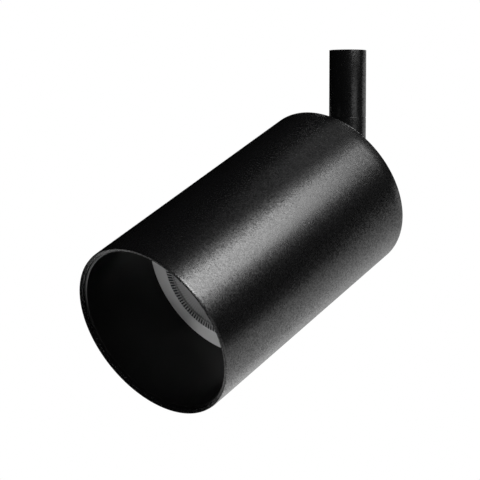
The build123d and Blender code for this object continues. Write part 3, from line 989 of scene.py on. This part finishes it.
@dataclass
class Hinge:
    """Half-lap tilt hinge: the knuckle on the stem's side and the lug on the head's."""

    stem: Bearing
    head: Bearing
    coat: Finish
    sides: int = 128
    edge_break: float = 0.18 * MM
    seam_round: float = 0.06 * MM
    seam_gap: float = 0.06 * MM
    ring_clearance: float = 0.1 * MM
    lap_gap: float = 0.6 * MM
    lap_clearance: float = 0.7 * MM
    spigot: float = 3.25 * MM
    wire_bore: float = 2.25 * MM
    head_recess: float = 3.05 * MM
    recess_floor: float = 3.9 * MM
    screw_hole: float = 1.55 * MM
    tapped_depth: float = 4.5 * MM
    tail: float = 5.0 * MM
    grommet_seat: float = 3.0 * MM
    hair: float = 0.01 * MM

    def build(self) -> None:
        """Make both halves."""
        self.build_knuckle()
        self.build_lug()

    def lap(self, bar: Blank, radius: float, side: Side) -> None:
        """Halve a bar's end and round it about the pivot, which is the origin.

        Args:
            bar: the bar, on Z.
            radius: its radius.
            side: which side is left.
        """
        beyond = 2 * radius
        shoulder = radius + self.lap_clearance
        near, far = sorted((side.value * self.lap_gap / 2, -side.value * beyond))
        bar.cut(Blank.block("lap", (near, -beyond, -beyond), (far, beyond, shoulder)))
        corner = Blank.block("corner", (-beyond, -beyond, -beyond), (beyond, beyond, 0.0))
        round_end = Blank.bar("round_end", radius + self.hair, -2 * beyond, 2 * beyond, self.sides)
        bar.cut(corner.cut(round_end.move(lay_across())))

    def drill(self, radius: float, low: float, high: float) -> Blank:
        """A drill along X between two places."""
        return Blank.bar("drill", radius, low, high, self.sides // 2).move(lay_across())

    def build_knuckle(self) -> None:
        """Turn the knuckle with its spigot, halve its end and let in the screw's head."""
        size = self.stem.span("swivel_knuckle")
        ring = self.stem.span("swivel_friction_ring")
        floor = ring.low - self.seam_gap
        recess = ring.outer + self.ring_clearance
        radius = size.outer
        shoulder = (radius, self.stem.span("stem_tube").low - self.seam_gap)
        outline = [
            (radius, -radius),
            shoulder,
            (recess, shoulder[1]),
            (recess, floor),
            (self.spigot, floor),
            (self.spigot, size.high),
            (self.wire_bore, size.high),
            (self.wire_bore, radius + 2 * self.lap_clearance),
        ]
        bar = Blank.turned("coated_knuckle", outline, self.sides, capped=True)
        bar.round_rings([shoulder], self.seam_round)
        self.lap(bar, radius, Side.LEFT)
        bar.cut(self.drill(self.screw_hole, -2 * radius, radius))
        bar.cut(self.drill(self.head_recess, -2 * radius, -self.recess_floor))
        bar.soften(self.edge_break)
        bar.finish(self.stem.matrix(), "knuckle", ["swivel_knuckle"], self.coat)

    def build_lug(self) -> None:
        """Turn the lug with its tail, halve its end and tap it."""
        size = self.head.span("tilt_lug")
        cap = self.head.span("rear_cap")
        radius = size.outer
        seat = size.high - self.grommet_seat
        outline = [
            (radius, -radius),
            (radius, cap.low),
            (self.tail, cap.low),
            (self.tail, size.high),
            (self.grommet_seat, size.high),
            (self.grommet_seat, seat),
            (self.wire_bore, seat),
            (self.wire_bore, radius + 2 * self.lap_clearance),
        ]
        bar = Blank.turned("coated_lug", outline, self.sides, capped=True)
        self.lap(bar, radius, Side.RIGHT)
        bar.cut(self.drill(self.screw_hole, -radius, self.tapped_depth))
        bar.soften(self.edge_break)
        bar.finish(self.head.matrix(), "head", ["tilt_lug"], self.coat)


@dataclass
class RearCap:
    """Plug in the back of the housing, countersunk for its screws."""

    axis: Bearing
    coat: Finish
    steel: Finish
    sides: int = 192
    edge_round: float = 0.25 * MM
    thickness: float = 4.0 * MM
    skirt_wall: float = 2.5 * MM
    lug_hole: float = 5.03 * MM
    screw_count: int = 3
    screw_head: float = 2.9 * MM
    screw_shank: float = 1.5 * MM
    screw_clearance: float = 0.08 * MM
    screw_edge: float = 0.15 * MM
    socket: float = 2.0 * MM
    socket_depth: float = 1.1 * MM
    screw_sides: int = 64

    def build(self) -> None:
        """Make the cap and its screws."""
        size = self.axis.span("cap_screws")
        out = Matrix.Translation(((size.inner + size.outer) / 2, 0.0, 0.0))
        step = 2 * math.pi / self.screw_count
        turns = [QUARTER_TURN + step * number for number in range(self.screw_count)]
        places = [Matrix.Rotation(turn, 4, "Z") @ out for turn in turns]
        self.build_cap(places)
        self.build_screws(places, size)

    def build_cap(self, places: list[Matrix]) -> None:
        """Turn the cap and countersink it.

        Args:
            places: where the screws stand, in the head's axes.
        """
        size = self.axis.span("rear_cap")
        skirt = size.outer - self.skirt_wall
        front = size.low + self.thickness
        start = (self.lug_hole, size.low)
        edge = (size.outer, size.low)
        outline = [start, edge, (size.outer, size.high), (skirt, size.high), (skirt, front)]
        outline += [(self.lug_hole, front), start]
        cap = Blank.turned("coated_rear_cap", outline, self.sides)
        cap.round_rings([edge], self.edge_round)
        for place in places:
            cap.cut(self.countersink(size.low).move(place))
        cap.finish(self.axis.matrix(), "head", ["rear_cap"], self.coat)

    def countersink(self, face: float) -> Blank:
        """Make the countersink for one screw.

        Args:
            face: the height of the cap's back.

        Returns:
            A cone on a bar, standing through the cap.
        """
        head = self.screw_head + self.screw_clearance
        shank = self.screw_shank + self.screw_clearance
        start = (head + self.thickness, face - self.thickness)
        outline = [start, (shank, face + head - shank), (shank, face + 2 * self.thickness)]
        return Blank.turned("countersink", outline, self.screw_sides, capped=True)

    def build_screws(self, places: list[Matrix], size: Span) -> None:
        """Turn one countersunk screw, sink its socket and copy it to each place.

        Args:
            places: where the screws stand, in the head's axes.
            size: where the screws lie along the head.
        """
        shoulder = size.low + self.screw_head - self.screw_shank
        outline = [(self.screw_head, size.low), (self.screw_shank, shoulder), (self.screw_shank, size.high)]
        screw = Blank.turned("cap_screw_set", outline, self.screw_sides, capped=True)
        screw.cut(hex_key(self.socket, size.low - self.socket, size.low + self.socket_depth))
        screw.soften(self.screw_edge)
        others = [screw.copy(place) for place in places[1:]]
        screw.move(places[0]).join(others)
        screw.finish(self.axis.matrix(), "head", ["cap_screws"], self.steel)


@dataclass
class Fasteners:
    """The pivot screw across the hinge, and the housing's set screw."""

    head: Bearing
    steel: Finish
    sides: int = 64
    edge_break: float = 0.15 * MM
    pivot_head: float = 2.75 * MM
    pivot_head_height: float = 1.3 * MM
    pivot_shank: float = 1.5 * MM
    pivot_socket: float = 2.0 * MM
    pivot_socket_depth: float = 0.8 * MM
    set_radius: float = 1.5 * MM
    set_socket: float = 1.5 * MM
    set_socket_depth: float = 1.2 * MM

    def build(self) -> None:
        """Make both screws."""
        self.build_pivot_screw()
        self.build_set_screw()

    def build_pivot_screw(self) -> None:
        """Turn the screw on Z, sink its socket and lay it along X."""
        low, high = self.head.reach("pivot_screw", X)
        seat = low + self.pivot_head_height
        outline = [(self.pivot_head, low), (self.pivot_head, seat), (self.pivot_shank, seat)]
        outline.append((self.pivot_shank, high))
        screw = Blank.turned("pivot_shoulder_screw", outline, self.sides, capped=True)
        screw.cut(hex_key(self.pivot_socket, low - self.pivot_socket, low + self.pivot_socket_depth))
        screw.soften(self.edge_break)
        screw.finish(self.head.matrix() @ lay_across(), "head", ["pivot_screw"], self.steel)

    def build_set_screw(self) -> None:
        """Turn the headless screw on Z, sink its socket and stand it under the housing."""
        node = "housing_set_screw"
        high, low = (-place for place in self.head.reach(node, Y))
        outline = [(self.set_radius, low), (self.set_radius, high)]
        screw = Blank.turned("housing_grub_screw", outline, self.sides, capped=True)
        screw.cut(hex_key(self.set_socket, high - self.set_socket_depth, high + self.set_socket))
        screw.soften(self.edge_break)
        upright = point_under(self.head.span(node).middle())
        screw.finish(self.head.matrix() @ upright, "head", [node], self.steel)


@dataclass
class Innards:
    """The pieces inside, whose solids stay as they are and get their finishes."""

    finishes: dict[str, Finish]

    def build(self) -> None:
        """Dress every node that is still shown."""
        slots = {row["node"]: row["material_slot"] for row in frame["record"]["subparts"]}
        for name, node in frame["nodes"].items():
            if node.hide_render:
                continue
            for place in node.material_slots:
                place.material = self.finishes[slots[name]].material()
            LOG.info("%s: solid kept, %s", name, slots[name])


# Studio


class Ray(Enum):
    """The rays that see the plain white background."""

    CAMERA = "Is Camera Ray"
    GLOSSY = "Is Glossy Ray"
    TRANSMISSION = "Is Transmission Ray"


def direction(azimuth: float, elevation: float) -> Vector:
    """Work out a direction seen from the object.

    Args:
        azimuth: degrees from -Y towards +X.
        elevation: degrees above the horizon.

    Returns:
        The unit vector.
    """
    turn, rise = math.radians(azimuth), math.radians(elevation)
    return Vector((math.sin(turn) * math.cos(rise), -math.cos(turn) * math.cos(rise), math.sin(rise)))


def stand(name: str, data: bpy.types.ID, place: Sequence[float]) -> bpy.types.Object:
    """Stand a lamp or a camera in the scene.

    Args:
        name: its name.
        data: the lamp or the camera.
        place: where it stands.

    Returns:
        The object.
    """
    made = bpy.data.objects.new(name, data)
    bpy.context.scene.collection.objects.link(made)
    made.location = place
    return made


def soft_light(name: str, width: float, height: float, radiance: float) -> bpy.types.Light:
    """Make a soft light.

    Args:
        name: its name.
        width: its width.
        height: its height.
        radiance: how bright its face is.

    Returns:
        The light.
    """
    light = bpy.data.lights.new(name, "AREA")
    light.shape = "RECTANGLE"
    light.size = width
    light.size_y = height
    light.energy = radiance * math.pi * width * height
    return light


@dataclass(frozen=True)
class Lamp:
    """A soft lamp that hangs in a direction from the object and faces it."""

    name: str
    azimuth: float
    elevation: float
    distance: float
    width: float
    height: float
    radiance: float
    mirrored: bool = True

    def hang(self, focus: Vector) -> None:
        """Hang the lamp.

        Args:
            focus: what it faces.
        """
        light = soft_light(self.name, self.width, self.height, self.radiance)
        way = direction(self.azimuth, self.elevation)
        lamp = stand(self.name, light, focus + way * self.distance)
        lamp.rotation_euler = (-way).to_track_quat("-Z", "Y").to_euler()
        lamp.visible_camera = False
        lamp.visible_glossy = self.mirrored


@dataclass(frozen=True)
class Sector:
    """A stretch of the horizon between two azimuths, up to an elevation, in degrees."""

    left: float
    right: float
    top: float

    def holds(self, turn: float) -> bool:
        """Whether an azimuth lies in the stretch, which may run on past the full circle."""
        return self.left < turn < self.right or self.left < turn + FULL_CIRCLE < self.right


@dataclass
class Studio:
    """Plain pale floor in a room of dark cloth, soft lamps and the camera."""

    focus: Vector
    eye: Vector = Vector((360.35 * MM, -449.59 * MM, -26.73 * MM))
    look: Vector = Vector((-0.6738, 0.7356, -0.0698))
    lens: float = 121.8
    sensor: float = 36.0
    clip_start: float = 0.01
    clip_end: float = 20.0
    floor_height: float = -0.6
    floor_radius: float = 1.8
    floor_sides: int = 96
    floor_tone: Colour = (0.86, 0.86, 0.86)
    floor_dim: float = 0.42
    floor_near: float = 0.45
    floor_far: float = 1.1
    wash_height: float = 0.4
    wash_side: float = 1.3
    wash_radiance: float = 1.15
    room_radius: float = 3.2
    room_foot: float = -17.0
    windows: tuple[Sector, ...] = (Sector(148.0, 222.0, 9.0), Sector(222.0, 262.0, -5.0))
    skirt_radius: float = 0.48
    skirt_foot: float = -70.0
    skirts: tuple[Sector, ...] = (Sector(255.0, 273.0, -17.0), Sector(291.0, 460.0, -17.0))
    cloth_columns: int = 144
    cloth_rows: int = 72
    backdrop: Colour = (0.49, 0.49, 0.49)
    ambient: float = 0.08
    # Azimuth, elevation, distance, width, height and radiance of each lamp
    lamps: tuple[Lamp, ...] = (
        Lamp("key_softbox", 103.0, 44.0, 0.8, 0.46, 0.39, 6.8),
        Lamp("key_halo", 103.0, 44.0, 0.8, 0.46, 0.7, 1.1),
        Lamp("key_core", 80.0, 43.6, 0.8, 0.2, 0.28, 15.0),
        Lamp("rear_softbox", 172.0, 68.0, 0.32, 0.12, 0.12, 0.26),
        Lamp("back_edge_light", 203.0, 32.0, 0.9, 0.25, 0.6, 3.5),
        Lamp("low_back_card", 203.0, -30.0, 0.9, 0.38, 0.16, 0.15),
        Lamp("edge_card", 158.0, 0.0, 0.9, 0.34, 0.2, 0.2),
        Lamp("side_card", 85.0, -4.0, 0.9, 0.5, 0.3, 1.0),
        Lamp("camera_fill", 24.0, -30.0, 1.0, 0.4, 0.3, 2.6, mirrored=False),
        Lamp("right_fill", 61.0, -38.0, 1.0, 0.3, 0.2, 9.5, mirrored=False),
        Lamp("front_top_fill", 16.0, 29.2, 1.0, 0.14, 0.12, 225.0, mirrored=False),
    )

    def build(self) -> None:
        """Set up the camera, the floor, the room, the world and the lamps."""
        self.build_camera()
        self.build_floor()
        self.build_room()
        self.build_world()
        for lamp in self.lamps:
            lamp.hang(self.focus)
        bpy.context.scene.view_settings.view_transform = "Standard"

    def build_camera(self) -> None:
        """Stand the camera where the photograph was taken from."""
        camera = bpy.data.cameras.new("camera")
        camera.lens = self.lens
        camera.sensor_width = self.sensor
        camera.clip_start = self.clip_start
        camera.clip_end = self.clip_end
        tripod = stand("camera", camera, self.eye)
        tripod.rotation_euler = self.look.to_track_quat("-Z", "Y").to_euler()
        bpy.context.scene.camera = tripod

    def seen(self, tree: Tree) -> tuple[Term, Term]:
        """Tell who looks at a place.

        Args:
            tree: the place's node tree.

        Returns:
            1 where the camera looks straight, and 1 where a mirror or a clear lens looks, or else 0.
        """
        path = tree.node("ShaderNodeLightPath")
        straight, mirrored, through = (Term(tree, path.outputs[ray.value]) for ray in Ray)
        return straight, mirrored | through

    def build_floor(self) -> None:
        """Lay the floor, lit near the object and running out to plain white."""
        deselect_all()
        middle = (0.0, 0.0, self.floor_height)
        bpy.ops.mesh.primitive_circle_add(
            vertices=self.floor_sides, radius=self.floor_radius, fill_type="NGON", location=middle
        )
        floor = Blank("floor").piece
        paint = bpy.data.materials.new("floor_paint")
        tree = Tree(paint)
        away = tree.radius(tree.place())
        straight, mirrored = self.seen(tree)
        share = (straight | mirrored) * away.ramp(self.floor_near, self.floor_far)
        dim = self.floor_dim + (1.0 - self.floor_dim) * away.ramp(self.floor_far, self.floor_radius)
        glow = tree.blend(mirrored * dim, WHITE, self.backdrop)
        matt = tree.term("ShaderNodeBsdfDiffuse", None, {"Color": (*self.floor_tone, 1.0)})
        white = tree.term("ShaderNodeEmission", None, {"Color": glow, "Strength": 1.0})
        tree.show(tree.mix(share, matt, white))
        floor.data.materials.append(paint)
        self.build_wash()

    def build_wash(self) -> None:
        """Hang a wide lamp below the object that faces the floor alone."""
        light = soft_light("floor_wash", self.wash_side, self.wash_side, self.wash_radiance)
        lamp = stand("floor_wash", light, (0.0, 0.0, self.floor_height + self.wash_height))
        lamp.visible_camera = False

    def build_cloth(self, name: str, radius: float, is_dark: Callable[[float, float], bool]) -> None:
        """Hang dark cloth about the object, which only mirrors see.

        Args:
            name: the cloth's name.
            radius: how far from the object it hangs.
            is_dark: says for an azimuth and an elevation, in degrees, whether there is cloth.
        """
        deselect_all()
        bpy.ops.mesh.primitive_uv_sphere_add(
            segments=self.cloth_columns, ring_count=self.cloth_rows, radius=radius, location=self.focus
        )
        cloth = Blank(name)
        cloth.edit()
        bpy.ops.mesh.select_mode(type="FACE")
        mesh = bmesh.from_edit_mesh(cloth.piece.data)
        for face in mesh.faces:
            way = (face.calc_center_median() - self.focus).normalized()
            turn = math.degrees(math.atan2(way.x, -way.y)) % FULL_CIRCLE
            face.select_set(not is_dark(turn, math.degrees(math.asin(way.z))))
        bmesh.update_edit_mesh(cloth.piece.data)
        bpy.ops.mesh.delete(type="FACE")
        deselect_all()
        paint = bpy.data.materials.new(name)
        tree = Tree(paint)
        tree.show(tree.term("ShaderNodeBsdfDiffuse", None, {"Color": (*BLACK, 1.0)}))
        cloth.piece.data.materials.append(paint)
        cloth.piece.visible_camera = False
        cloth.piece.visible_diffuse = False
        cloth.piece.visible_shadow = False

    def build_room(self) -> None:
        """Hang dark walls all round, open low at the back, and a dark skirt over the floor at the front."""

        def is_wall(turn: float, rise: float) -> bool:
            """Whether the walls hang there, down to a window's top or to their foot."""
            tops = (window.top for window in self.windows if window.holds(turn))
            return rise > next(tops, self.room_foot)

        def is_skirt(turn: float, rise: float) -> bool:
            """Whether the skirt hangs there."""
            return any(skirt.holds(turn) and self.skirt_foot < rise < skirt.top for skirt in self.skirts)

        self.build_cloth("dark_walls", self.room_radius, is_wall)
        self.build_cloth("dark_skirt", self.skirt_radius, is_skirt)

    def build_world(self) -> None:
        """White where it is looked at, dim as a light."""
        world = bpy.data.worlds.new("studio")
        bpy.context.scene.world = world
        tree = Tree(world)
        straight, mirrored = self.seen(tree)
        glow = tree.blend(mirrored, WHITE, self.backdrop)
        dim = tree.term("ShaderNodeBackground", None, {"Color": (*WHITE, 1.0), "Strength": self.ambient})
        white = tree.term("ShaderNodeBackground", None, {"Color": glow, "Strength": 1.0})
        tree.show(tree.mix(straight | mirrored, dim, white), "ShaderNodeOutputWorld")


# The whole


def grey(tone: float) -> Colour:
    """An even grey."""
    return (tone, tone, tone)


def all_finishes(head: Bearing, lip_depth: float = 0.45 * MM) -> dict[str, Finish]:
    """Make every finish of the object.

    Args:
        head: the line that the sleeve and the lens were turned about.
        lip_depth: how far the sleeve's lacquered lip reaches back from its front.

    Returns:
        The finishes, by their slots.
    """
    lip = head.span("baffle_sleeve").high - lip_depth
    # Slot, darkest tone, palest tone and roughness of each finish
    made = [
        SandCoat(
            "black_powder_coat", (0.001, 0.001, 0.0011), (0.0016, 0.0016, 0.0017), 0.265,
            roughness_swing=0.07, grain=1.2 * MM, relief=0.01 * MM, coat=0.45, specular=0.43,
        ),
        TurnedFinish(
            "black_baffle", grey(0.0008), grey(0.0013), 0.36,
            relief=0.003 * MM, coat=1.0, specular=0.25, axis=head, lip=lip,
        ),
        # The frosted lens carries painted shade in its prisms' notches and painted dark streaks on its dome.
        PrismShadeFinish("frosted_lens", (0.38, 0.38, 0.382), (0.47, 0.47, 0.472), 0.4, blotch=8 * MM, axis=head),
        Finish("grey_bezel", grey(0.61), grey(0.68), 0.46, blotch=9 * MM, relief=0.006 * MM),
        Finish("black_steel", (0.012, 0.012, 0.013), (0.03, 0.03, 0.031), 0.34, blotch=2 * MM, metallic=0.6),
        Finish("spring_steel", (0.30, 0.30, 0.32), (0.42, 0.42, 0.44), 0.3, metallic=1.0),
        Finish("zinc_steel", (0.5, 0.51, 0.53), (0.62, 0.63, 0.65), 0.35, metallic=1.0),
        Finish(
            "bare_aluminium", (0.62, 0.62, 0.64), (0.74, 0.74, 0.76), 0.45, relief=0.02 * MM, metallic=1.0
        ),
        Finish("black_nylon", grey(0.015), grey(0.025), 0.55),
        Finish("grommet_rubber", grey(0.014), grey(0.024), 0.7),
        Finish("white_plastic", (0.72, 0.72, 0.7), (0.8, 0.8, 0.78), 0.42),
        Finish("grey_pad", (0.26, 0.26, 0.29), (0.32, 0.32, 0.35), 0.8),
        Finish("board_ceramic", (0.8, 0.8, 0.78), (0.88, 0.88, 0.86), 0.5),
        Finish("phosphor", (0.8, 0.62, 0.06), (0.88, 0.7, 0.1), 0.35, blotch=1.5 * MM),
        Finish("red_insulation", (0.45, 0.025, 0.015), (0.55, 0.035, 0.025), 0.5),
        Finish("black_insulation", grey(0.014), grey(0.024), 0.5),
    ]
    return {finish.slot: finish for finish in made}


def main() -> None:
    """Build and dress every sub-assembly, then the studio."""
    logging.basicConfig(level=logging.INFO, format="%(message)s")
    stem, head = stem_line(), head_line()
    finishes = all_finishes(head)
    coat = finishes["black_powder_coat"]
    steel = finishes["black_steel"]
    Housing(head, coat).build()
    Baffle(head, finishes["black_baffle"]).build()
    Optics(head, finishes["grey_bezel"], finishes["frosted_lens"]).build()
    Stem(stem, coat).build()
    Hinge(stem, head, coat).build()
    RearCap(head, coat, steel).build()
    Fasteners(head, steel).build()
    Innards(finishes).build()
    low, high = CAD_BOX
    Studio((low + high) / 2).build()


if __name__ == "__main__":
    main()
